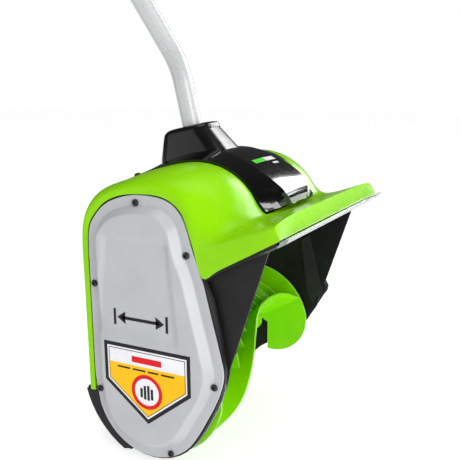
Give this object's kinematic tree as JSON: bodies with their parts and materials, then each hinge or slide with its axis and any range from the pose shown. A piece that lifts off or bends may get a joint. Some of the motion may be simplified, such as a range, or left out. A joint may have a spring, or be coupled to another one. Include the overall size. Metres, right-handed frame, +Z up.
{
  "type": "cordless snow shovel",
  "caption": "Battery-powered snow shovel: a narrow rotor head with deflector lip and scraper on a bent shaft, with assist handle, rear grip and slide-in battery.",
  "frame": {"origin": "middle of the scraper's flat foot, on the ground", "axes": "+X towards the machine's left side, -Y the way the snow is thrown, +Z up"},
  "size_m": [0.356, 0.6833, 1.133],
  "materials": {
    "green_housing": "satin to gloss moulded",
    "rotor_green": "satin moulded",
    "green_controls": "satin moulded",
    "black_plastic": "fine moulded grain",
    "gloss_black": "high gloss",
    "grey_cover": "satin, silver grey",
    "clear_strip": "clear, polished",
    "tube_paint": "light grey powder paint",
    "bare_steel": "zinc plated",
    "dark_steel": "varnished laminations",
    "black_screws": "black oxide",
    "belt_rubber": "matte",
    "soft_grip": "matte foam-like rubber",
    "circuit_board": "solder mask"
  },
  "bodies": {
    "head_and_shaft": {"assist_clamp_lower": "black_plastic", "assist_clamp_screw_left": "black_screws", "assist_clamp_screw_right": "black_screws", "assist_clamp_upper": "black_plastic", "battery_terminals": "black_plastic", "belt_case": "black_plastic", "belt_cover": "grey_cover", "control_board": "circuit_board", "cover_screw_1": "black_screws", "cover_screw_2": "black_screws", "cover_screw_3": "black_screws", "cover_screw_4": "black_screws", "cover_screw_5": "black_screws", "cover_screw_6": "black_screws", "deflector_backing": "black_plastic", "deflector_strip": "clear_strip", "drive_belt": "belt_rubber", "handle_screw_1": "black_screws", "handle_screw_2": "black_screws", "handle_screw_3": "black_screws", "housing_screw_left": "black_screws", "housing_screw_right": "black_screws", "idler_bracket": "bare_steel", "intake_liner": "green_housing", "left_bearing": "bare_steel", "left_frame_plate": "bare_steel", "left_handle_shell": "black_plastic", "left_side_case": "black_plastic", "left_side_wall": "black_plastic", "lower_tube": "tube_paint", "micro_switch": "black_plastic", "motor_can": "bare_steel", "motor_cover": "gloss_black", "motor_mount": "bare_steel", "power_cable": "belt_rubber", "right_bearing": "bare_steel", "right_frame_plate": "bare_steel", "right_handle_shell": "black_plastic", "right_side_wall": "black_plastic", "scraper_bar": "black_plastic", "shaft_coupler": "black_plastic", "trigger_pin": "bare_steel", "trigger_spring": "bare_steel", "tube_socket": "gloss_black", "upper_housing": "green_housing", "upper_tube": "tube_paint"},
    "rotor": {"rotor": "rotor_green", "rotor_shaft": "bare_steel", "driven_pulley": "black_plastic"},
    "armature": {"motor_armature": "dark_steel", "motor_pulley": "bare_steel"},
    "idler": {"idler_pulley": "bare_steel"},
    "trigger": {"trigger": "green_controls"},
    "lock_off": {"lock_off_button": "green_controls"},
    "battery": {"battery_pack": "black_plastic"},
    "latch": {"battery_latch": "green_controls"},
    "assist_handle": {"assist_bow": "black_plastic", "assist_grip_sleeve": "soft_grip"},
    "assist_knob": {"assist_knob": "black_plastic"},
    "coupler_knob": {"coupler_knob": "black_plastic"}
  },
  "joints": [
    {"name": "rotor_spin", "type": "hinge", "parent": "head_and_shaft", "child": "rotor", "pos_m": [0, -0.051, 0.108], "axis": [1, 0, 0], "continuous": true},
    {"name": "motor_spin", "type": "hinge", "parent": "head_and_shaft", "child": "armature", "pos_m": [0, -0.037, 0.284], "axis": [1, 0, 0], "continuous": true},
    {"name": "idler_spin", "type": "hinge", "parent": "head_and_shaft", "child": "idler", "pos_m": [0, -0.08299, 0.19559], "axis": [1, 0, 0], "continuous": true},
    {"name": "trigger_squeeze", "type": "hinge", "parent": "head_and_shaft", "child": "trigger", "pos_m": [0, 0.28455, 0.98595], "axis": [-1, 0, 0], "range_deg": [0, 7], "stiffness_Nm_per_rad": 0.4, "springref_deg": -4.58, "deforming": ["trigger_spring"]},
    {"name": "lock_off_press", "type": "slide", "parent": "head_and_shaft", "child": "lock_off", "axis": [0, 0.832, -0.5548], "range_m": [0, 0.003], "stiffness_N_per_m": 150, "springref_m": -0.002},
    {"name": "battery_slide", "type": "slide", "parent": "head_and_shaft", "child": "battery", "axis": [0, 0.5548, 0.832], "range_m": [0, 0.09]},
    {"name": "latch_press", "type": "slide", "parent": "battery", "child": "latch", "axis": [0, 0.832, -0.5548], "range_m": [0, 0.0025], "stiffness_N_per_m": 200, "springref_m": -0.002},
    {"name": "assist_tilt", "type": "hinge", "parent": "head_and_shaft", "child": "assist_handle", "pos_m": [0, 0.12254, 0.77907], "axis": [1, 0, 0], "range_deg": [-35, 35]},
    {"name": "assist_knob_turn", "type": "hinge", "parent": "head_and_shaft", "child": "assist_knob", "pos_m": [0, 0.12254, 0.77907], "axis": [1, 0, 0], "range_deg": [0, 720]},
    {"name": "coupler_knob_turn", "type": "hinge", "parent": "head_and_shaft", "child": "coupler_knob", "pos_m": [0, 0.12155, 0.64511], "axis": [1, 0, 0], "range_deg": [0, 720]}
  ],
  "couplings": [
    {"joint": "motor_spin", "follows": "rotor_spin", "ratio": 2.7778},
    {"joint": "idler_spin", "follows": "rotor_spin", "ratio": -3}
  ]
}
